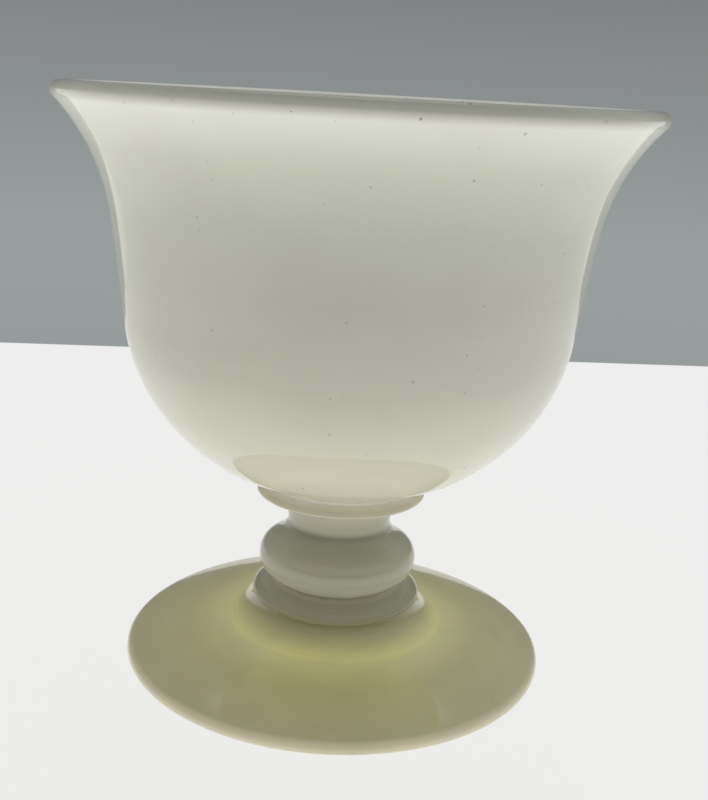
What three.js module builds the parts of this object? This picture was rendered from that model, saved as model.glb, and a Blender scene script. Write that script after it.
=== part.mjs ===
// Pedestal salt cellar in opaque white blown glass.
// Five gathers of glass, welded hot one on top of the other at flat round faces:
// foot, foot merese (a rounded wafer), stem with its knop, bowl merese (a thin disc), bowl.
// Millimetres, +Z up, origin at the centre of the face that the foot rests on.
import * as THREE from 'three';

// Foot: a low cone with a rounded edge, a cove up to the hub and a hollow underside
const FOOT_RADIUS = 31.2;
const FOOT_EDGE_ROUNDING = 1.0;
const FOOT_HUB_HEIGHT = 9.0;
const COVE_RADIUS = 18.0;
const COVE_HEIGHT = 5.3;
const REST_RING_WIDTH = 2.9;
const UNDERSIDE_HEIGHT = 4.4;
const PONTIL_RADIUS = 6.5;
const PONTIL_DEPTH = 0.5;

// Foot merese: a thick wafer with a rounded side, between the foot and the stem
const FOOT_WELD_RADIUS = 12.1;
const FOOT_MERESE_RADIUS = 12.55;
const FOOT_MERESE_THICKNESS = 2.5;
const FOOT_MERESE_NOSE = 0.6;
const CREASE_RADIUS = 11.3;
const CREASE_DROP = 0.55;

// Stem: a flattened knop that runs up into a short neck, all one solid gather
const KNOP_WELD_RADIUS = 7.9;
const KNOP_RADIUS = 11.7;
const KNOP_MIDDLE_HEIGHT = 3.6;
const NECK_RADIUS = 7.6;
const NECK_FOOT_HEIGHT = 9.2;
const NECK_WELD_RADIUS = 7.9;
const STEM_LENGTH = 12.9;

// Bowl merese: a thin disc with a fine edge, between the neck and the bowl
const BOWL_MERESE_RADIUS = 12.4;
const BOWL_MERESE_THICKNESS = 2.2;
const BOWL_MERESE_EDGE_HEIGHT = 1.1;
const BOWL_MERESE_EDGE_ROUNDING = 0.25;

// Bowl: a low belly, a steep flank and a wide flare that ends in a fire-polished bead
const BOWL_WELD_RADIUS = 10;
const BOWL_HEIGHT = 55.55;
const BELLY_RADIUS = 20;
const BELLY_HEIGHT = 4.9;
const FLANK_RADIUS = 32.05;
const FLANK_HEIGHT = 27.4;
const RIM_RADIUS = 41;
const LIP_THICKNESS = 2.4;
const FLANK_THICKNESS = 2.0;
const BELLY_THICKNESS = 2.6;
const FLOOR_THICKNESS = 4.2;

// Directions of the outlines in degrees: 0 points away from the axis, 90 straight up
const UPRIGHT = 90;
const INWARD = 180;
const UNDERSIDE_EDGE_DIRECTION = -19;
const COVE_TOP_DIRECTION = 123;
const CREASE_DIRECTION = 150;
const KNOP_WELD_DIRECTION = 16;
const KNOP_TOP_DIRECTION = 106;
const BOWL_WELD_DIRECTION = 23;
const BELLY_DIRECTION = 36;
const FLANK_DIRECTION = 81.5;
const LIP_DIRECTION = 47;

// Reaches of each curve's two handles, as shares of the straight way between its ends
const undersideReachShares = [0.35, 0.3];
const coveReachShares = [0.4, 0.4];
const creaseReachShares = [0.35, 0.35];
const knopLowerReachShares = [0.4, 0.42];
const knopUpperReachShares = [0.5, 0.5];
const neckReachShares = [0.4, 0.3];
const bowlBaseReachShares = [0.5, 0.25];
const bowlSideReachShares = [0.58, 0.09];
const bowlFlareReachShares = [0.34, 0.42];
const bowlFloorReachShares = [0.45, 0.4];

// Facets round the axis and along the curves
const LARGE_SEGMENTS = 60;
const SMALL_SEGMENTS = 48;
const LONG_CURVE_STEPS = 12;
const CURVE_STEPS = 7;
const ROUNDING_STEPS = 5;

// Heights of the welds above the table
const footWeldHeight = FOOT_HUB_HEIGHT;
const knopWeldHeight = footWeldHeight + FOOT_MERESE_THICKNESS;
const neckWeldHeight = knopWeldHeight + STEM_LENGTH;
const bowlWeldHeight = neckWeldHeight + BOWL_MERESE_THICKNESS;

const point = (radius, height) => new THREE.Vector2(radius, height);
const onAxis = (height) => point(0, height);
const radians = THREE.MathUtils.degToRad;
const degrees = THREE.MathUtils.radToDeg;
const direction = (angle) => point(Math.cos(radians(angle)), Math.sin(radians(angle)));

// A smooth curve that leaves one point and reaches the other along given directions
function sweep(from, fromAngle, to, toAngle, reachShares) {
  const chord = from.distanceTo(to);
  const firstHandle = from.clone().addScaledVector(direction(fromAngle), chord * reachShares[0]);
  const lastHandle = to.clone().addScaledVector(direction(toAngle), -chord * reachShares[1]);
  return new THREE.CubicBezierCurve(from, firstHandle, lastHandle, to);
}

// A round nose from one outward direction to another, anticlockwise
function nose(centre, radius, startAngle, endAngle) {
  return new THREE.EllipseCurve(
    centre.x, centre.y, radius, radius, radians(startAngle), radians(endAngle));
}

// Points along a curve without its end, where the next stretch of outline starts
function along(curve, steps) {
  return curve.getPoints(steps).slice(0, -1);
}

// The same backwards along an outer curve, at a wall's thickness to the left of it
function innerSide(outer, endThickness, startThickness, steps) {
  const shares = Array.from({ length: steps }, (_, i) => 1 - i / steps);
  return shares.map((share) => {
    const tangent = outer.getTangent(share);
    const inward = point(-tangent.y, tangent.x);
    const thickness = THREE.MathUtils.lerp(startThickness, endThickness, share);
    return outer.getPoint(share).addScaledVector(inward, thickness);
  });
}

// Turns an outline about the Z axis: it starts and ends on the axis, glass on its left
function revolve(name, outline, segments, material) {
  const geometry = new THREE.LatheGeometry(outline, segments);
  geometry.rotateX(radians(UPRIGHT));
  const mesh = new THREE.Mesh(geometry, material);
  mesh.name = name;
  return mesh;
}

// Opaque white glass, with the colour that each piece shows against the light
function opalGlass(color) {
  return new THREE.MeshStandardMaterial({ color, roughness: 0.08, metalness: 0 });
}

// The cone runs down from the cove and meets the rounded edge without a kink
function foot() {
  const edgeCentre = point(FOOT_RADIUS - FOOT_EDGE_ROUNDING, FOOT_EDGE_ROUNDING);
  const coveFoot = point(COVE_RADIUS, COVE_HEIGHT);
  const hubTop = point(FOOT_WELD_RADIUS, footWeldHeight);
  const toEdge = edgeCentre.clone().sub(coveFoot);
  const fall = Math.atan2(-toEdge.y, toEdge.x);
  const slope = degrees(fall - Math.asin(FOOT_EDGE_ROUNDING / toEdge.length()));
  const pontilTop = onAxis(UNDERSIDE_HEIGHT + PONTIL_DEPTH);
  const pontilEdge = point(PONTIL_RADIUS, UNDERSIDE_HEIGHT);
  const ringInner = point(edgeCentre.x - REST_RING_WIDTH, 0);
  const pontil = sweep(
    pontilTop, 0, pontilEdge, UNDERSIDE_EDGE_DIRECTION, undersideReachShares);
  const underside = sweep(
    pontilEdge, 0, ringInner, UNDERSIDE_EDGE_DIRECTION, undersideReachShares);
  const edge = nose(edgeCentre, FOOT_EDGE_ROUNDING, -UPRIGHT, UPRIGHT - slope);
  const cove = sweep(coveFoot, INWARD - slope, hubTop, COVE_TOP_DIRECTION, coveReachShares);
  const outline = [
    ...along(pontil, ROUNDING_STEPS),
    ...along(underside, CURVE_STEPS),
    ringInner,
    ...edge.getPoints(ROUNDING_STEPS),
    ...along(cove, CURVE_STEPS),
    hubTop,
    onAxis(footWeldHeight),
  ];
  return revolve('foot', outline, LARGE_SEGMENTS, opalGlass(0xb4b283));
}

function footMerese() {
  const noseCentre = point(
    FOOT_MERESE_RADIUS - FOOT_MERESE_NOSE, footWeldHeight + FOOT_MERESE_NOSE);
  const noseTop = point(FOOT_MERESE_RADIUS, noseCentre.y);
  const crease = point(CREASE_RADIUS, knopWeldHeight - CREASE_DROP);
  const side = sweep(noseTop, UPRIGHT, crease, CREASE_DIRECTION, creaseReachShares);
  const outline = [
    onAxis(footWeldHeight),
    ...along(nose(noseCentre, FOOT_MERESE_NOSE, -UPRIGHT, 0), ROUNDING_STEPS),
    ...along(side, CURVE_STEPS),
    crease,
    point(KNOP_WELD_RADIUS, knopWeldHeight),
    onAxis(knopWeldHeight),
  ];
  return revolve('foot_merese', outline, SMALL_SEGMENTS, opalGlass(0x9c9a84));
}

function knopStem() {
  const weld = point(KNOP_WELD_RADIUS, knopWeldHeight);
  const middle = point(KNOP_RADIUS, knopWeldHeight + KNOP_MIDDLE_HEIGHT);
  const neckFoot = point(NECK_RADIUS, knopWeldHeight + NECK_FOOT_HEIGHT);
  const neckTop = point(NECK_WELD_RADIUS, neckWeldHeight);
  const lower = sweep(weld, KNOP_WELD_DIRECTION, middle, UPRIGHT, knopLowerReachShares);
  const upper = sweep(middle, UPRIGHT, neckFoot, KNOP_TOP_DIRECTION, knopUpperReachShares);
  const neck = sweep(neckFoot, UPRIGHT, neckTop, UPRIGHT, neckReachShares);
  const outline = [
    onAxis(knopWeldHeight),
    ...along(lower, CURVE_STEPS),
    ...along(upper, LONG_CURVE_STEPS),
    ...along(neck, ROUNDING_STEPS),
    neckTop,
    onAxis(neckWeldHeight),
  ];
  return revolve('knop_stem', outline, SMALL_SEGMENTS, opalGlass(0xa8a792));
}

function bowlMerese() {
  const edgeCentre = point(
    BOWL_MERESE_RADIUS - BOWL_MERESE_EDGE_ROUNDING, neckWeldHeight + BOWL_MERESE_EDGE_HEIGHT);
  const edge = nose(edgeCentre, BOWL_MERESE_EDGE_ROUNDING, -UPRIGHT, UPRIGHT);
  const outline = [
    onAxis(neckWeldHeight),
    point(NECK_WELD_RADIUS, neckWeldHeight),
    ...edge.getPoints(ROUNDING_STEPS),
    point(BOWL_WELD_RADIUS, bowlWeldHeight),
    onAxis(bowlWeldHeight),
  ];
  return revolve('bowl_merese', outline, SMALL_SEGMENTS, opalGlass(0xc8c6ae));
}

// The inner side follows the outer one at the wall's thickness, down to a rounded floor
function bowl() {
  const lipRadius = LIP_THICKNESS / 2;
  const lipCentre = point(RIM_RADIUS - lipRadius, bowlWeldHeight + BOWL_HEIGHT - lipRadius);
  const lipOuterSide = LIP_DIRECTION - UPRIGHT;
  const lipStart = lipCentre.clone().addScaledVector(direction(lipOuterSide), lipRadius);
  const weld = point(BOWL_WELD_RADIUS, bowlWeldHeight);
  const belly = point(BELLY_RADIUS, bowlWeldHeight + BELLY_HEIGHT);
  const flank = point(FLANK_RADIUS, bowlWeldHeight + FLANK_HEIGHT);
  const base = sweep(weld, BOWL_WELD_DIRECTION, belly, BELLY_DIRECTION, bowlBaseReachShares);
  const side = sweep(belly, BELLY_DIRECTION, flank, FLANK_DIRECTION, bowlSideReachShares);
  const flare = sweep(flank, FLANK_DIRECTION, lipStart, LIP_DIRECTION, bowlFlareReachShares);
  const lip = nose(lipCentre, lipRadius, lipOuterSide, lipOuterSide + INWARD);
  const innerBelly = belly.clone().addScaledVector(
    direction(BELLY_DIRECTION + UPRIGHT), BELLY_THICKNESS);
  const floorCentre = onAxis(bowlWeldHeight + FLOOR_THICKNESS);
  const floor = sweep(
    innerBelly, BELLY_DIRECTION + INWARD, floorCentre, INWARD, bowlFloorReachShares);
  const outline = [
    onAxis(bowlWeldHeight),
    ...along(base, CURVE_STEPS),
    ...along(side, LONG_CURVE_STEPS),
    ...along(flare, LONG_CURVE_STEPS),
    ...along(lip, ROUNDING_STEPS),
    ...innerSide(flare, LIP_THICKNESS, FLANK_THICKNESS, CURVE_STEPS),
    ...innerSide(side, FLANK_THICKNESS, BELLY_THICKNESS, CURVE_STEPS),
    ...along(floor, CURVE_STEPS),
    floorCentre,
  ];
  return revolve('bowl', outline, LARGE_SEGMENTS, opalGlass(0xd6d5c3));
}

const saltCellar = new THREE.Group();
saltCellar.add(foot(), footMerese(), knopStem(), bowlMerese(), bowl());

export default saltCellar;
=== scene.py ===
# %% [markdown]
# A pedestal salt in opaque white glass. The real object is blown and tooled hot: the
# bowl, a thin disc, the knopped stem, a thick wafer and the foot are separate gathers
# that are welded together. This lesson loads the measured model as a fixed frame, turns
# each piece again as a fine mesh, and gives the glass its colour, gloss and flaws.

# %% The frame
from math import cos, pi, radians, sin

import bmesh
import bpy
from mathutils import Matrix, Vector, noise
from mathutils.geometry import interpolate_bezier

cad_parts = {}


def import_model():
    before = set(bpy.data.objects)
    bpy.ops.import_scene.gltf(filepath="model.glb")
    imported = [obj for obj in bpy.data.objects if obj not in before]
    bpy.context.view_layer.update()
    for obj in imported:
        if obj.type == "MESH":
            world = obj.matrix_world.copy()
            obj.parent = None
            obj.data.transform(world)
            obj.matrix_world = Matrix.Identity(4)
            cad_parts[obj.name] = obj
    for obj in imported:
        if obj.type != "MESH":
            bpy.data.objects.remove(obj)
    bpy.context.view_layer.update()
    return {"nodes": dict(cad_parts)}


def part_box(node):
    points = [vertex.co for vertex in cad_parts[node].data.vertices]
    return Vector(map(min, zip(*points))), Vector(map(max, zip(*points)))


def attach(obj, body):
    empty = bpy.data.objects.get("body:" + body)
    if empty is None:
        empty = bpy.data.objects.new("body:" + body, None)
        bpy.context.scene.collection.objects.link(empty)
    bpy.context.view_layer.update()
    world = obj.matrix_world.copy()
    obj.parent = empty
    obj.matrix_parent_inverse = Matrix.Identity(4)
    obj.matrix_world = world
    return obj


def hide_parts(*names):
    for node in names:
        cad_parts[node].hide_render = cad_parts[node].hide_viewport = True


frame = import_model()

print("nodes of the frame:", sorted(frame["nodes"]))

# %% [markdown]
# The camera stood almost level with the rim and very near, so the foot is seen from
# above while the inside of the bowl stays hidden. The place, tilt and lens were worked
# out from the round edges of the object, which appear as ellipses. A camera could also
# be placed by eye, but a measured one keeps every proportion where it belongs.

# %% The camera
MM = 0.001
PICTURE_HEIGHT = 800
FOCAL_PIXELS = 1126.5
CAMERA_DISTANCE = 158.27 * MM
CAMERA_HEIGHT = 82.89 * MM
CAMERA_PITCH = radians(15.447)
CAMERA_YAW = radians(0.45)
CAMERA_ROLL = radians(3.157)
NEAREST_SEEN = 5 * MM


def in_scene(name, data):
    """Makes an object of the data and puts it in the scene."""
    made = bpy.data.objects.new(name, data)
    bpy.context.scene.collection.objects.link(made)
    return made


camera_data = bpy.data.cameras.new("camera")
camera_data.lens = FOCAL_PIXELS * camera_data.sensor_width / PICTURE_HEIGHT
camera_data.clip_start = NEAREST_SEEN
camera = in_scene("camera", camera_data)
aim = Matrix.Rotation(-CAMERA_YAW, 4, "Z") @ Matrix.Rotation(pi / 2 - CAMERA_PITCH, 4, "X")
aim = aim @ Matrix.Rotation(CAMERA_ROLL, 4, "Z")
camera.matrix_world = Matrix.Translation((0, -CAMERA_DISTANCE, CAMERA_HEIGHT)) @ aim
bpy.context.scene.camera = camera
print("lens in mm:", round(camera_data.lens, 2))

# %% [markdown]
# Every piece is round, so its shape is one outline turned about the axis. An outline
# is made of straight lines, arcs and smooth curves. A curve is given by its two ends,
# the direction in which it passes each, in degrees from the horizontal, and how far it
# keeps to that direction, as a share of the distance between the ends.

# %% Directions and smooth curves
OUTWARD = 0
UPRIGHT = 90
INWARD = 180
CURVE_STEPS = 36


def spot(radius, height):
    return Vector((radius, 0, height))


def heading(angle):
    return spot(cos(radians(angle)), sin(radians(angle)))


def curve(start, start_angle, end, end_angle, reaches):
    """Points of a curve that leaves start and reaches end along the given directions."""
    chord = (end - start).length
    first_handle = start + chord * reaches[0] * heading(start_angle)
    last_handle = end - chord * reaches[1] * heading(end_angle)
    return interpolate_bezier(start, first_handle, last_handle, end, CURVE_STEPS + 1)


# %% [markdown]
# No hand-blown piece is perfectly round. A slow, low noise moves each vertex along its
# own radius by a few hundredths of a millimetre, so that reflections bend a little.
# Edges sharper than a limit stay crisp, such as the rim of the ground dish underneath.

# %% From a bmesh to an object
WOBBLE = 0.035 * MM
WOBBLE_LENGTH = 17 * MM
STILL_CORE = 1 * MM
CRISP_EDGE = radians(38)


def finished(mesh, name):
    """Gives the body its handmade wobble and makes it an object of the scene."""
    for vertex in mesh.verts:
        outward = Vector((vertex.co.x, vertex.co.y, 0))
        if outward.length > STILL_CORE:
            shift = noise.noise(vertex.co / WOBBLE_LENGTH) * WOBBLE
            vertex.co += outward.normalized() * shift
    data = bpy.data.meshes.new(name)
    mesh.to_mesh(data)
    mesh.free()
    data.shade_smooth()
    data.set_sharp_from_angle(angle=CRISP_EDGE)
    print(name, "has", len(data.polygons), "faces")
    return in_scene(name, data)


# %% [markdown]
# The outline is drawn by a pen that extrudes its last vertex: straight, along a smooth
# curve, or round an arc, which is a spin of that one vertex. A full spin then turns the
# outline into a body. Vertices on the axis come out once for each step of the spin, so
# doubles are merged before the faces are made to point outwards.

# %% The pen
ARC_STEPS = 10
TURN_STEPS = 240
SAME_PLACE = 0.0001 * MM


class Pen:
    """Draws an outline in the XZ plane, with the glass on its left, and turns it."""

    def __init__(self, start):
        self.mesh = bmesh.new()
        self.tip = bmesh.ops.create_vert(self.mesh, co=start)["vert"][0]

    def line(self, *points):
        for point in points:
            grown = bmesh.ops.extrude_vert_indiv(self.mesh, verts=[self.tip])
            self.tip = grown["verts"][0]
            self.tip.co = point

    def sweep(self, end, start_angle, end_angle, reaches):
        self.line(*curve(self.tip.co.copy(), start_angle, end, end_angle, reaches)[1:])

    def arc(self, centre, angle):
        turned = bmesh.ops.spin(
            self.mesh, geom=[self.tip], cent=centre, axis=(0, -1, 0),
            angle=radians(angle), steps=ARC_STEPS)
        self.tip = [v for v in turned["geom_last"] if isinstance(v, bmesh.types.BMVert)][0]

    def turn(self, name):
        """Spins the outline about Z into a closed, smooth object."""
        bmesh.ops.spin(
            self.mesh, geom=self.mesh.verts[:] + self.mesh.edges[:], cent=(0, 0, 0),
            axis=(0, 0, 1), angle=2 * pi, steps=TURN_STEPS, use_merge=True)
        bmesh.ops.remove_doubles(self.mesh, verts=self.mesh.verts, dist=SAME_PLACE)
        bmesh.ops.recalc_face_normals(self.mesh, faces=self.mesh.faces)
        return finished(self.mesh, name)


# %% [markdown]
# The welds are level rounds, and the frame says how high they lie and how far each
# piece reaches, so those sizes are read from it. The sizes between them are the ones
# that an outline needs and that a box can't tell.

# %% Heights and reaches from the frame
foot_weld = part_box("foot")[1].z
wafer_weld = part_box("foot_merese")[1].z
stem_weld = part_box("knop_stem")[1].z
disc_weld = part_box("bowl_merese")[1].z
rim_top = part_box("bowl")[1].z
foot_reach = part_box("foot")[1].x
wafer_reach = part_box("foot_merese")[1].x
knop_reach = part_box("knop_stem")[1].x
disc_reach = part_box("bowl_merese")[1].x
rim_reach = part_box("bowl")[1].x
print("welds in mm:", [round(z / MM, 2) for z in (foot_weld, wafer_weld, stem_weld, disc_weld)])

# %% [markdown]
# The foot is one gather, spun out into a low cone. Its upper side runs from the rounded
# edge up a faint dome and then a cove to the hub. Underneath it is hollow, so that
# it stands on a narrow ring, and the scar of the pontil rod is ground to a shallow dish.

# %% The foot
FOOT_EDGE = 1.0 * MM
REST_RING = 2.9 * MM
UNDERSIDE_HEIGHT = 4.4 * MM
PONTIL_RADIUS = 6.5 * MM
PONTIL_DEPTH = 0.5 * MM
COVE_RADIUS = 18.0 * MM
COVE_HEIGHT = 5.0 * MM
FOOT_WELD_RADIUS = 12.1 * MM
UNDERSIDE_EDGE_DIRECTION = -19
EDGE_SLOPE = 19
COVE_SLOPE = 10
COVE_TOP_DIRECTION = 106
underside_reaches = (0.35, 0.3)
dome_reaches = (0.33, 0.33)
cove_reaches = (0.42, 0.36)


def make_foot():
    edge_centre = spot(foot_reach - FOOT_EDGE, FOOT_EDGE)
    pen = Pen(spot(0, UNDERSIDE_HEIGHT + PONTIL_DEPTH))
    pen.sweep(
        spot(PONTIL_RADIUS, UNDERSIDE_HEIGHT), OUTWARD, UNDERSIDE_EDGE_DIRECTION,
        underside_reaches)
    pen.sweep(
        spot(edge_centre.x - REST_RING, 0), OUTWARD, UNDERSIDE_EDGE_DIRECTION,
        underside_reaches)
    pen.line(spot(edge_centre.x, 0))
    pen.arc(edge_centre, INWARD - EDGE_SLOPE)
    pen.sweep(
        spot(COVE_RADIUS, COVE_HEIGHT), INWARD - EDGE_SLOPE, INWARD - COVE_SLOPE,
        dome_reaches)
    pen.sweep(
        spot(FOOT_WELD_RADIUS, foot_weld), INWARD - COVE_SLOPE, COVE_TOP_DIRECTION,
        cove_reaches)
    pen.line(spot(0, foot_weld))
    return pen.turn("foot_glass")


foot = make_foot()

# %% [markdown]
# The wafer between foot and stem has a round side that bulges low and runs in to a
# faint crease, left where the jacks pinched it. Glassmakers call such a wafer a merese.

# %% The foot's wafer
WAFER_NOSE = 0.6 * MM
NOSE_DIRECTION = 50
CREASE_RADIUS = 11.3 * MM
CREASE_DROP = 0.55 * MM
KNOP_WELD_RADIUS = 8.6 * MM
CREASE_DIRECTION = 150
nose_reaches = (0.4, 0.4)
crease_reaches = (0.35, 0.35)


def make_wafer():
    pen = Pen(spot(0, foot_weld))
    pen.line(spot(FOOT_WELD_RADIUS, foot_weld))
    pen.sweep(
        spot(wafer_reach, foot_weld + WAFER_NOSE), NOSE_DIRECTION, UPRIGHT, nose_reaches)
    pen.sweep(
        spot(CREASE_RADIUS, wafer_weld - CREASE_DROP), UPRIGHT, CREASE_DIRECTION,
        crease_reaches)
    pen.line(spot(KNOP_WELD_RADIUS, wafer_weld), spot(0, wafer_weld))
    return pen.turn("foot_wafer_glass")


wafer = make_wafer()

# %% [markdown]
# The stem is solid. A flattened knop swells out of the wafer and draws in again to a
# short neck in one double bend, so two curves share a tangent at the widest place.

# %% The knopped stem
KNOP_MIDDLE = 3.6 * MM
NECK_RADIUS = 7.6 * MM
NECK_FOOT = 9.2 * MM
NECK_WELD_RADIUS = 7.9 * MM
KNOP_WELD_DIRECTION = 32
KNOP_TOP_DIRECTION = 106
knop_lower_reaches = (0.4, 0.42)
knop_upper_reaches = (0.5, 0.5)
neck_reaches = (0.4, 0.3)


def make_stem():
    pen = Pen(spot(0, wafer_weld))
    pen.line(spot(KNOP_WELD_RADIUS, wafer_weld))
    pen.sweep(
        spot(knop_reach, wafer_weld + KNOP_MIDDLE), KNOP_WELD_DIRECTION, UPRIGHT,
        knop_lower_reaches)
    pen.sweep(
        spot(NECK_RADIUS, wafer_weld + NECK_FOOT), UPRIGHT, KNOP_TOP_DIRECTION,
        knop_upper_reaches)
    pen.sweep(spot(NECK_WELD_RADIUS, stem_weld), UPRIGHT, UPRIGHT, neck_reaches)
    pen.line(spot(0, stem_weld))
    return pen.turn("knop_stem_glass")


stem = make_stem()

# %% [markdown]
# The disc under the bowl is thin and comes to a fine rounded edge, because it was
# squeezed flat while the bowl was set down on it. The hot glass also filled the corner
# between the two, so both pieces turn up into a small fillet where they meet.

# %% The disc under the bowl
DISC_EDGE_HEIGHT = 1.1 * MM
DISC_EDGE = 0.13 * MM
BOWL_WELD_RADIUS = 10.75 * MM
FILLET_RADIUS = 11.0 * MM
FILLET_DROP = 0.32 * MM
FILLET_START_DIRECTION = 153
FILLET_END_DIRECTION = 92
fillet_reaches = (0.4, 0.35)


def make_disc():
    edge_centre = spot(disc_reach - DISC_EDGE, stem_weld + DISC_EDGE_HEIGHT)
    pen = Pen(spot(0, stem_weld))
    pen.line(spot(NECK_WELD_RADIUS, stem_weld), edge_centre + DISC_EDGE * heading(-UPRIGHT))
    pen.arc(edge_centre, INWARD)
    pen.line(spot(FILLET_RADIUS, disc_weld - FILLET_DROP))
    pen.sweep(
        spot(BOWL_WELD_RADIUS, disc_weld), FILLET_START_DIRECTION, FILLET_END_DIRECTION,
        fillet_reaches)
    pen.line(spot(0, disc_weld))
    return pen.turn("bowl_disc_glass")


disc = make_disc()

# %% [markdown]
# The bowl is the piece that takes skill. A low belly turns into a nearly straight
# flank, which flares out ever faster and ends in a bead that the fire rounded. The
# curves of its side are kept, because the colour of the inner side needs them later.

# %% The bowl's outer side
BELLY_RADIUS = 20 * MM
BELLY_HEIGHT = 4.9 * MM
FLANK_RADIUS = 32.05 * MM
FLANK_HEIGHT = 27.4 * MM
LIP = 2.4 * MM
CORNER_RADIUS = 11.0 * MM
CORNER_HEIGHT = 0.47 * MM
CORNER_START_DIRECTION = 88
BOWL_WELD_DIRECTION = 24
BELLY_DIRECTION = 36
FLANK_DIRECTION = 81.5
LIP_DIRECTION = 47
corner_reaches = (0.35, 0.4)
base_reaches = (0.5, 0.25)
side_reaches = (0.58, 0.09)
flare_reaches = (0.34, 0.42)

bead_centre = spot(rim_reach - LIP / 2, rim_top - LIP / 2)
bead_start = bead_centre + LIP / 2 * heading(LIP_DIRECTION - UPRIGHT)
corner = spot(CORNER_RADIUS, disc_weld + CORNER_HEIGHT)
belly = spot(BELLY_RADIUS, disc_weld + BELLY_HEIGHT)
flank = spot(FLANK_RADIUS, disc_weld + FLANK_HEIGHT)
bowl_side = curve(belly, BELLY_DIRECTION, flank, FLANK_DIRECTION, side_reaches)
bowl_flare = curve(flank, FLANK_DIRECTION, bead_start, LIP_DIRECTION, flare_reaches)
print("the flank leans", UPRIGHT - FLANK_DIRECTION, "degrees, the lip", UPRIGHT - LIP_DIRECTION)

# %% [markdown]
# The inner side follows the outer one at the wall's own thickness. A Solidify modifier
# could make a wall of one thickness, but this one is thick at the belly, thin at the
# flank and thick again at the lip, so the pen walks back along the outline instead.

# %% The bowl
FLANK_WALL = 2.0 * MM
BELLY_WALL = 2.6 * MM
FLOOR = 4.2 * MM
floor_reaches = (0.45, 0.4)


def inner_side(outer, end_wall, start_wall):
    """The outer points from last to first, each moved in by the wall there."""
    last = len(outer) - 1
    moved = []
    for i in range(last, -1, -1):
        along = outer[min(i + 1, last)] - outer[max(i - 1, 0)]
        inward = Vector((-along.z, 0, along.x)).normalized()
        wall = start_wall + (end_wall - start_wall) * i / last
        moved.append(outer[i] + inward * wall)
    return moved


def make_bowl():
    pen = Pen(spot(0, disc_weld))
    pen.line(spot(BOWL_WELD_RADIUS, disc_weld))
    pen.sweep(corner, CORNER_START_DIRECTION, BOWL_WELD_DIRECTION, corner_reaches)
    pen.sweep(belly, BOWL_WELD_DIRECTION, BELLY_DIRECTION, base_reaches)
    pen.line(*bowl_side[1:], *bowl_flare[1:])
    pen.arc(bead_centre, INWARD)
    pen.line(*inner_side(bowl_flare, LIP, FLANK_WALL)[1:])
    pen.line(*inner_side(bowl_side, FLANK_WALL, BELLY_WALL)[1:])
    pen.sweep(spot(0, disc_weld + FLOOR), BELLY_DIRECTION + INWARD, INWARD, floor_reaches)
    return pen.turn("bowl_glass")


bowl = make_bowl()

# %% [markdown]
# Shader maths reads best as sums. This class wraps a socket, so that a Python sum
# written with it adds the Math nodes.

# %% Sums that become nodes
class Value:
    """An output of a shader node, ready for sums."""

    def __init__(self, graph, output):
        self.graph = graph
        self.output = output

    def math(self, operation, *values):
        return self.graph.node("Math", {"operation": operation}, dict(enumerate(values)))

    def other(self, name):
        return Value(self.graph, self.output.node.outputs[name])

    def limited(self):
        return self.graph.node("Clamp", {}, {"Value": self})

    def __add__(self, other):
        return self.math("ADD", self, other)

    def __sub__(self, other):
        return self.math("SUBTRACT", self, other)

    def __rsub__(self, other):
        return self.math("SUBTRACT", other, self)

    def __mul__(self, other):
        return self.math("MULTIPLY", self, other)

    def __truediv__(self, other):
        return self.math("DIVIDE", self, other)

    def __pow__(self, other):
        return self.math("POWER", self, other)

    def __abs__(self):
        return self.math("ABSOLUTE", self)

    __radd__ = __add__
    __rmul__ = __mul__


# %% [markdown]
# Every other node comes from one method, which sets the node's own settings first and
# then its values and links. Colours are blended by a Mix node, because a Math node
# would turn them grey.

# %% One method for all nodes
class Graph:
    """The nodes of one material or world."""

    def __init__(self, owner):
        owner.use_nodes = True
        self.tree = owner.node_tree
        self.tree.nodes.clear()

    def node(self, kind, settings, inputs, output=0):
        made = self.tree.nodes.new("ShaderNode" + kind)
        for name, setting in settings.items():
            if name == "stops":
                self.set_stops(made.color_ramp, setting)
            else:
                setattr(made, name, setting)
        for key, value in inputs.items():
            if isinstance(value, Value):
                self.tree.links.new(value.output, made.inputs[key])
            else:
                made.inputs[key].default_value = value
        return Value(self, made.outputs[output]) if made.outputs else made

    def set_stops(self, ramp, stops):
        """Gives a ramp its places and colours, from first to last."""
        while len(ramp.elements) < len(stops):
            ramp.elements.new(1)
        for element, (place, colour) in zip(ramp.elements, stops):
            element.position = place
            element.color = colour

    def blend(self, mask, first, second):
        """The first colour where the mask is 0, the second where it is 1."""
        return self.node(
            "Mix", {"data_type": "RGBA"}, {"Factor": mask, "A": first, "B": second}, "Result")


# %% [markdown]
# Most masks are soft steps: nothing on one side of a limit, everything on the other,
# and a short way between them on which they grow.

# %% Soft steps and colours
def past(value, limit, softness):
    """0 up to the limit, then growing to 1 over the softness."""
    return ((value - limit) / softness).limited()


def before(value, limit, softness):
    """0 from the limit on, and growing to 1 over the softness before it."""
    return ((limit - value) / softness).limited()


def around_middle(value):
    """A half where the value is 0, and growing with it between 0 and 1."""
    return (value + 0.5).limited()


def shade(red, green, blue):
    """A colour as a screen shows it, from 0 to 255, turned into the light it stands for."""
    return tuple(((c / 255 + 0.055) / 1.055) ** 2.4 for c in (red, green, blue)) + (1,)


# %% [markdown]
# Opal glass is white because fine crystals in it scatter light. Where it is drawn out
# or folded over, the crystals lie in faint clouds and streaks. Both are noise, for the
# streaks squeezed in height, so that they run round the piece as the gather was turned.

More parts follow.
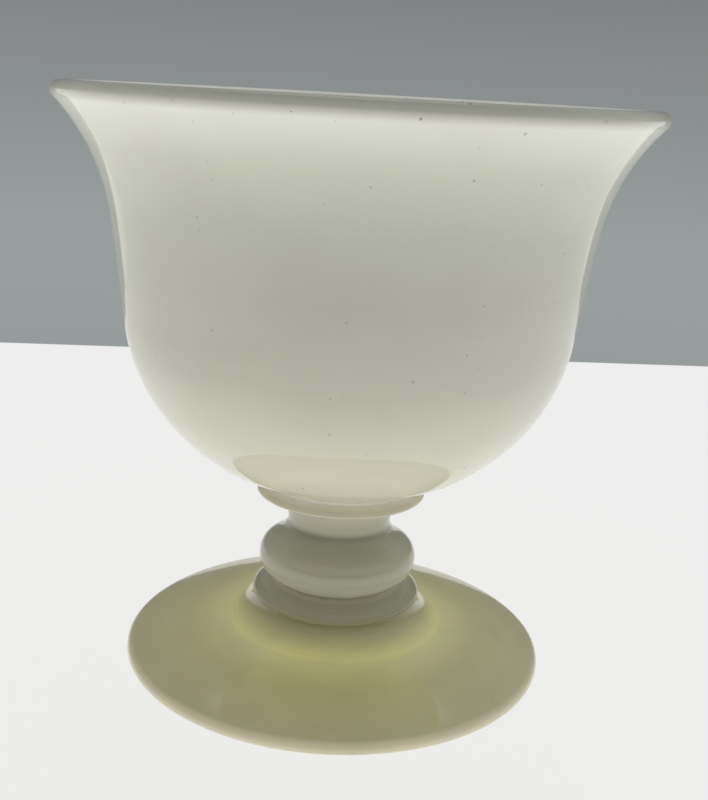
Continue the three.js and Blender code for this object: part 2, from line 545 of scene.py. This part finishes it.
# %% Clouds and streaks
CLOUDY = shade(150, 146, 126)
CLOUD_LENGTH = 14 * MM
CLOUD_START = 0.45
CLOUD_SHARE = 0.35
CLOUD_DETAIL = 3.0
STREAK_LENGTH = 9 * MM
STREAK_STRETCH = (1, 1, 7)
STREAK_SHARE = 0.5
STREAK_DETAIL = 4.0
MIDDLE_OF_NOISE = 0.5


def noise_node(graph, place, length, **inputs):
    """Noise with lumps of the given length."""
    return graph.node("TexNoise", {}, {"Vector": place, "Scale": 1 / length, **inputs})


def clouded(graph, place, colour, tooled):
    cloud = noise_node(graph, place, CLOUD_LENGTH, Detail=CLOUD_DETAIL)
    colour = graph.blend((cloud - CLOUD_START).limited() * CLOUD_SHARE, colour, CLOUDY)
    stretched = graph.node(
        "VectorMath", {"operation": "MULTIPLY"}, {0: place, 1: STREAK_STRETCH})
    streak = noise_node(graph, stretched, STREAK_LENGTH, Detail=STREAK_DETAIL)
    share = (streak - MIDDLE_OF_NOISE).limited() * STREAK_SHARE * tooled
    return graph.blend(share, colour, CLOUDY)


# %% [markdown]
# Dark specks are bits of the furnace. Each cell of a Voronoi pattern may hold one in
# its middle. The cell's random colour says whether it does, and how dark the speck is.
# The rim was heated and handled most, so more of them are found there.

# %% Specks
SPECK = shade(84, 78, 62)
SPECK_SPACING = 1.6 * MM
SPECK_SIZE_SHARE = 0.2
SPECK_CRISPNESS = 40
FAINTEST_SPECK = 0.15
SPECK_RANGE = 0.5
RIM_DIRT_START = 76 * MM
RIM_DIRT_GROWTH = 4


def specked(graph, place, height, colour, clean):
    cells = graph.node("TexVoronoi", {}, {"Vector": place, "Scale": 1 / SPECK_SPACING})
    chance = graph.node("SeparateColor", {}, {"Color": cells.other("Color")})
    rim_dirt = (height - RIM_DIRT_START) / RIM_DIRT_START * RIM_DIRT_GROWTH
    size = (chance - clean + rim_dirt.limited()).limited() * SPECK_SIZE_SHARE
    darkness = FAINTEST_SPECK + SPECK_RANGE * chance.other("Green") ** 2
    specks = ((size - cells) * SPECK_CRISPNESS).limited() * darkness
    return graph.blend(specks, colour, SPECK)


# %% [markdown]
# Years of standing have worn the resting ring matt, and the dish under the foot is
# matt because it was ground. In the narrow corner between bowl and disc the tools
# couldn't polish the glass either. The rest is as glossy as the fire left it.

# %% Matt places
GROUND_EDGE = 0.1 * MM
GROUND_TOP = UNDERSIDE_HEIGHT + PONTIL_DEPTH + GROUND_EDGE
WORN_HEIGHT = 0.15 * MM
WELD_REACH = 0.7 * MM
GLOSS = 0.015
SMUDGE_DETAIL = 6.0
SMUDGE_ROUGHNESS = 0.12
WELD_ROUGHNESS = 0.3
MATT_ROUGHNESS = 0.4
MATT_PALENESS = 0.3


def matt_mask(radius, height):
    ground = before(radius, PONTIL_RADIUS, GROUND_EDGE)
    ground = ground * before(height, GROUND_TOP, GROUND_EDGE)
    return (ground + before(height, WORN_HEIGHT, WORN_HEIGHT)).limited()


def roughness(graph, place, height, matt):
    smudge = noise_node(graph, place, CLOUD_LENGTH, Detail=SMUDGE_DETAIL)
    from_weld = (height - disc_weld) / WELD_REACH
    blurred = WELD_ROUGHNESS * (1 - from_weld * from_weld).limited() + MATT_ROUGHNESS * matt
    return GLOSS + SMUDGE_ROUGHNESS * (smudge - MIDDLE_OF_NOISE).limited() + blurred


# %% [markdown]
# All five pieces are the same glass, so one function makes their materials, and each
# gets its own tone and its own share of the flaws. Tools leave faint rings, which are
# noise on the outline and so run round the piece. They and the slow ripple of the
# surface are strongest near the axis, where the stem was worked. Light sinks into such
# glass, which is what Subsurface is for. Transmission would make it clear, not milky.

# %% The glass
GLASS_IOR = 1.6
HUB = 18 * MM
HUB_SOFTNESS = 0.15 * HUB
FAR_TOOLING = 0.25
RING_LENGTH = 0.45 * MM
RING_HEIGHT = 0.01 * MM
RING_CONTRAST = 4
RING_SHARE = 0.15
RIPPLE_LENGTH = 6 * MM
RIPPLE_HEIGHT = 0.006 * MM


def opal_glass(name, tone, glow, depth, passing, clean, tooled, lumps):
    """A material whose colour tone(graph, radius, height) gives, with the glass's flaws.

    The share glow of the light sinks in, by the depth, and passing says how far red,
    green and blue get. Clean is the share of places with no speck, tooled how much
    the rings show, and lumps how uneven the surface is near the axis."""
    material = bpy.data.materials.new(name)
    graph = Graph(material)
    place = graph.node("TexCoord", {}, {}, "Object")
    x = graph.node("SeparateXYZ", {}, {"Vector": place}, "X")
    y = x.other("Y")
    height = x.other("Z")
    radius = (x * x + y * y) ** 0.5
    near_axis = before(radius, HUB, HUB_SOFTNESS)
    tooling = tooled * (FAR_TOOLING + (1 - FAR_TOOLING) * near_axis)

    outline = graph.node("CombineXYZ", {}, {"X": radius, "Y": height})
    rings = graph.node(
        "TexNoise", {"noise_dimensions": "2D"}, {"Vector": outline, "Scale": 1 / RING_LENGTH})
    ring_share = ((rings - MIDDLE_OF_NOISE) * RING_CONTRAST).limited() * RING_SHARE * tooling
    matt = matt_mask(radius, height)
    # The tone brings the ramps' painted light and shade along with the glass's own colour.
    colour = clouded(graph, place, tone(graph, radius, height), tooled)
    colour = graph.blend(ring_share, colour, CLOUDY)
    colour = specked(graph, place, height, colour, clean)

    ripple = noise_node(graph, place, RIPPLE_LENGTH) * (1 + lumps * near_axis)
    bump = graph.node("Bump", {}, {"Height": rings * tooling, "Distance": RING_HEIGHT})
    bump = graph.node(
        "Bump", {}, {"Height": ripple, "Distance": RIPPLE_HEIGHT, "Normal": bump})
    surface = graph.node("BsdfPrincipled", {}, {
        "Base Color": graph.blend(matt * MATT_PALENESS, colour, CLOUDY),
        "Roughness": roughness(graph, place, height, matt),
        "IOR": GLASS_IOR,
        "Subsurface Weight": glow,
        "Subsurface Radius": passing,
        "Subsurface Scale": depth,
        "Normal": bump,
    })
    graph.node("OutputMaterial", {}, {"Surface": surface})
    print("material", name, "has", len(material.node_tree.nodes), "nodes")
    return material


# %% [markdown]
# Only part of each tone is the ivory of the glass. The rest is painted light and shade:
# lighter where the table lights a face from below, darker where a face turns up or lies
# under the bowl, lighter in the welded corners to cancel their shade, and on the foot a
# warm yellow that is a painted glow of table light passing up through the glass. The tone
# of a piece runs with height, or with the distance from the axis where the piece is flat.
# Each tone is a ramp of a few colours, and each colour has its place on the piece in
# millimetres.

# %% The tones of the stem and the foot, with painted light and shade
def colours_along(graph, value, *stops):
    """A ramp of colours, each at its place on the piece, in millimetres."""
    first, last = stops[0][0], stops[-1][0]
    shares = [((place - first) / (last - first), colour) for place, colour in stops]
    return graph.node(
        "ValToRGB", {"stops": shares},
        {"Fac": (value - first * MM) / ((last - first) * MM)})


# Painted light on the foot: all its yellow, brightest in a ring near the hub, is a painted glow
# of table light coming through; its edge is painted lighter where the table lights it, and next
# to the wafer it is darker, a painted shade under the wafer.
def foot_tone_and_painted_light(graph, radius, height):
    return colours_along(
        graph, radius,
        (12.1, shade(166, 161, 121)), (13.5, shade(206, 201, 143)), (15.5, shade(238, 235, 168)),
        (17, shade(225, 222, 165)), (19.5, shade(215, 210, 152)), (22, shade(204, 199, 144)),
        (29, shade(198, 192, 148)), (30.3, shade(198, 193, 154)), (31.2, shade(226, 218, 192)))


# Painted light on the wafer: near-white at both welds to cancel the shade of the creases, and a
# grey middle, a painted shade under the knop and bowl.
def wafer_tone_and_painted_light(graph, radius, height):
    return colours_along(
        graph, height - foot_weld,
        (0, shade(232, 227, 186)), (0.5, shade(157, 153, 123)), (1.8, shade(158, 155, 128)),
        (2.2, shade(184, 181, 151)), (2.5, shade(236, 233, 210)))


# Painted light on the stem: lightest at its foot and low on the knop, to cancel the crease's
# shade and where the table lights it; darkest on the knop's top, a painted shade under the bowl;
# lighter again up the neck.
def stem_tone_and_painted_light(graph, radius, height):
    return colours_along(
        graph, height - wafer_weld,
        (0, shade(244, 242, 224)), (1.5, shade(210, 209, 190)), (3.5, shade(189, 187, 164)),
        (5, shade(180, 176, 155)), (6.8, shade(175, 174, 153)), (8.8, shade(145, 143, 124)),
        (9.6, shade(185, 183, 160)), (12.9, shade(211, 209, 186)))


# Painted light on the disc: near-white in the corner under the bowl, to cancel the shade there,
# greyer on its top and a little lighter at its edge.
def disc_tone_and_painted_light(graph, radius, height):
    return colours_along(
        graph, radius,
        (10, shade(250, 247, 231)), (11.2, shade(233, 229, 213)), (11.7, shade(222, 217, 201)),
        (12.1, shade(222, 217, 201)), (12.4, shade(227, 221, 202)))


# %% [markdown]
# The inner side of the bowl gets one light tone of its own: the white of the glass, lifted
# a little as painted light, so that the dim inside looks lit and the far rim's inner lip
# shows a bright line, a painted glow of light through it from behind. A point belongs to
# it when it lies nearer the axis than the middle of the wall.
# Where that is, the outline tells: a grey ramp holds the outer radius at each height.

# %% The tones of the bowl, with painted light and shade
HALF_WALL = 1.1 * MM
# The inside's white, lifted as painted light, with the far rim's painted glow.
INSIDE_WHITE_AND_PAINTED_LIGHT = shade(236, 235, 224)
INSIDE_SOFTNESS = 0.1 * LIP
POINTS_PER_STOP = 6


def reach_of_bowl(graph, height):
    """The radius of the bowl's outer side at a height, from its own outline."""
    outline = [corner] + bowl_side[::POINTS_PER_STOP]
    outline += bowl_flare[POINTS_PER_STOP::POINTS_PER_STOP]
    low, high = outline[0].z, outline[-1].z
    stops = [((p.z - low) / (high - low), (p.x / rim_reach,) * 3 + (1,)) for p in outline]
    share = graph.node("ValToRGB", {"stops": stops}, {"Fac": (height - low) / (high - low)})
    return share * rim_reach


def bowl_tone_and_painted_light(graph, radius, height):
    # Painted light on the bowl's outer side: near-white at the weld to cancel the corner's
    # shade, lighter on the belly and the flare, which face down to the lit table, greyer on the
    # upright flank, and darker on the top of the bead, a painted shade where it faces up.
    outer = colours_along(
        graph, height - disc_weld,
        (0, shade(248, 246, 228)), (8.5, shade(232, 230, 211)), (21.5, shade(203, 201, 185)),
        (32, shade(195, 195, 179)), (40, shade(196, 197, 181)), (47.5, shade(208, 209, 193)),
        (53.2, shade(230, 231, 217)), (53.8, shade(206, 206, 191)), (54.4, shade(183, 182, 168)),
        (55.5, shade(169, 169, 156)))
    middle_of_wall = reach_of_bowl(graph, height) - HALF_WALL
    return graph.blend(before(radius, middle_of_wall, INSIDE_SOFTNESS), outer, INSIDE_WHITE_AND_PAINTED_LIGHT)


# %% [markdown]
# Each fine piece stands for its plain node of the frame. It rides on the one body that
# the welded glass forms, and names the slot that its finish belongs to.

# %% Finish each piece
YELLOWISH = (1.0, 0.93, 0.5)
NEUTRAL = (1.0, 0.97, 0.85)
thick_glass = dict(glow=0.2, depth=2 * MM, passing=NEUTRAL, clean=0.6)

for piece, node, slot, finish in (
        (foot, "foot", "foot_glass", dict(
            tone=foot_tone_and_painted_light, glow=0.6, depth=2 * MM, passing=YELLOWISH, clean=0.55,
            tooled=1.1, lumps=4)),
        (wafer, "foot_merese", "foot_merese_glass", dict(
            thick_glass, tone=wafer_tone_and_painted_light, tooled=1.5, lumps=3)),
        (stem, "knop_stem", "stem_glass", dict(
            thick_glass, tone=stem_tone_and_painted_light, tooled=0.9, lumps=4)),
        (disc, "bowl_merese", "bowl_merese_glass", dict(
            thick_glass, tone=disc_tone_and_painted_light, depth=1 * MM, tooled=0.7, lumps=1)),
        (bowl, "bowl", "bowl_glass", dict(
            tone=bowl_tone_and_painted_light, glow=0.4, depth=1 * MM, passing=NEUTRAL, clean=0.35,
            tooled=0.1, lumps=0))):
    piece.data.materials.append(opal_glass(slot, **finish))
    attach(piece, "root")
    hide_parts(node)

# %% [markdown]
# The piece stands on a wide white table, whose far edge is seen behind it, turned a
# little from the camera's view. The table is a stage and no part of the object, so a
# cube of the right size is enough.

# %% The table
TABLE_BACK = 196 * MM
TABLE_HALF = 700 * MM
TABLE_THICKNESS = 20 * MM
TABLE_TURN = radians(4.85)

table_mesh = bmesh.new()
table_centre = Vector((0, TABLE_BACK - TABLE_HALF, -TABLE_THICKNESS / 2))
table_size = Matrix.Diagonal((2 * TABLE_HALF, 2 * TABLE_HALF, TABLE_THICKNESS, 1))
bmesh.ops.create_cube(
    table_mesh, size=1,
    matrix=Matrix.Rotation(TABLE_TURN, 4, "Z") @ Matrix.Translation(table_centre) @ table_size)
table_data = bpy.data.meshes.new("table")
table_mesh.to_mesh(table_data)
table_mesh.free()
table = in_scene("table", table_data)
print("the table's far edge lies", round(TABLE_BACK / MM), "mm behind the axis")

# %% [markdown]
# The table also lights the glass from below. The camera and the reflections see it
# evenly white. What it lights gets more from its left and right ends, and most from
# the left, as on a light table whose middle is covered. Light Path tells the two apart.

# %% The light of the table
TABLE_PAINT = shade(238, 238, 237)
TABLE_GLOW = (1.0, 1.0, 0.99, 1)
GLOW_SHARE = 0.75
TABLE_MIDDLE = 115 * MM
SEEN_STRENGTH = 0.98
EXTRA_LIGHT = 0.13
LEFT_LIGHT = 1.5
RIGHT_LIGHT = 1.0

table_material = bpy.data.materials.new("table")
table_graph = Graph(table_material)
table_place = table_graph.node("TexCoord", {}, {}, "Object")
table_x = table_graph.node("SeparateXYZ", {}, {"Vector": table_place}, "X")
lit_ends = past(abs(table_x), TABLE_MIDDLE, TABLE_MIDDLE)
rightward = around_middle(table_x / TABLE_MIDDLE)
ends_strength = LEFT_LIGHT - (LEFT_LIGHT - RIGHT_LIGHT) * rightward
ray = table_graph.node("LightPath", {}, {}, "Is Camera Ray")
looking = (ray + ray.other("Is Glossy Ray") + ray.other("Is Transmission Ray")).limited()
painted = table_graph.node("BsdfDiffuse", {}, {"Color": TABLE_PAINT})
glowing = table_graph.node("Emission", {}, {
    "Color": TABLE_GLOW,
    "Strength": SEEN_STRENGTH + (1 - looking) * (EXTRA_LIGHT + lit_ends * ends_strength)})
table_graph.node("OutputMaterial", {}, {
    "Surface": table_graph.node("MixShader", {}, {0: GLOW_SHARE, 1: painted, 2: glowing})})
table_data.materials.append(table_material)
print("the table's material has", len(table_material.node_tree.nodes), "nodes")

# %% [markdown]
# Glass shows its surroundings, so the room is drawn into the world, by the direction in
# which each place of it lies. Real lamps and walls would do the same with more work.
# The grey wall behind gives the bowl its dim sides, the windows the bright line beside
# them, the ceiling the sheen on the foot, and a lamp the two pale wedges on its front.

# %% Where the parts of the room lie
WINDOW_BACK = sin(radians(36))
WINDOW_FRONT = sin(radians(50))
WINDOW_TURN = 20
WINDOW_SOFTNESS = 0.03
WINDOW_TOP = 0.03
WINDOW_TOP_SOFTNESS = 0.05
CEILING_START = 0.15
CEILING_SOFTNESS = 0.45
LAMP_START = 0.74
LAMP_SOFTNESS = 0.05
LAMP_BACK = 4
LAMP_HALF = 0.6
LAMP_END_SOFTNESS = 0.12
SIDES_START = 0.6
SIDES_SOFTNESS = 0.3
FRONT_GROWTH = 2
RIGHT_GROWTH = 1.2

world = bpy.data.worlds.new("studio")
bpy.context.scene.world = world
sky = Graph(world)
direction = sky.node("TexCoord", {}, {}, "Generated")
across = sky.node("SeparateXYZ", {}, {"Vector": direction}, "X")
along = across.other("Y")
up = across.other("Z")
side = abs(across / (across * across + along * along) ** 0.5)
turn_to_front = ((0 - along) * WINDOW_TURN).limited()
window_edge = WINDOW_BACK + turn_to_front * (WINDOW_FRONT - WINDOW_BACK)
window = past(side, window_edge, WINDOW_SOFTNESS) * before(up, WINDOW_TOP, WINDOW_TOP_SOFTNESS)
ceiling = past(up, CEILING_START, CEILING_SOFTNESS)
lamp = past(up, LAMP_START, LAMP_SOFTNESS) * (along * LAMP_BACK).limited()
lamp = lamp * before(side, LAMP_HALF, LAMP_END_SOFTNESS)
front = ((0 - along) * FRONT_GROWTH).limited()
sides = past(side, SIDES_START, SIDES_SOFTNESS)
to_the_right = around_middle(across * RIGHT_GROWTH)
print("windows from", round(WINDOW_BACK, 2), "of the way to the side")

# %% [markdown]
# The room is brighter at the right, where the window is nearer. The camera itself sees
# nothing but the plain wall.

# %% The colours of the room
WALL_TONES = (
    (0.0, shade(150, 155, 156)), (0.3, shade(154, 160, 160)), (1.0, shade(128, 131, 132)))
WALL_DROP = 0.22
WALL_HEIGHT = 0.3
SIDE_WALLS = shade(168, 169, 169), shade(192, 195, 195)
CEILINGS = shade(187, 189, 189), shade(205, 209, 210)
FRONT_ROOM = shade(97, 97, 96)
DAYLIGHT = shade(254, 255, 255)
LAMPLIGHT = (1.18, 1.18, 1.16, 1)

wall = sky.node(
    "ValToRGB", {"stops": WALL_TONES}, {"Fac": (up + WALL_DROP) / WALL_HEIGHT})
room = sky.blend(sides, wall, sky.blend(to_the_right, *SIDE_WALLS))
room = sky.blend(front, room, FRONT_ROOM)
room = sky.blend(window, room, DAYLIGHT)
room = sky.blend(ceiling, room, sky.blend(to_the_right, *CEILINGS))
room = sky.blend(lamp, room, LAMPLIGHT)
seen = sky.node("LightPath", {}, {}, "Is Camera Ray")
sky.node("OutputWorld", {}, {"Surface": sky.node(
    "Background", {}, {"Color": sky.blend(seen, room, wall), "Strength": 1.0})})
print("the room has", len(world.node_tree.nodes), "nodes")

# %% [markdown]
# The view keeps its plain settings, so that a colour looks as it is written.

# %% The end
bpy.context.scene.view_settings.view_transform = "Standard"
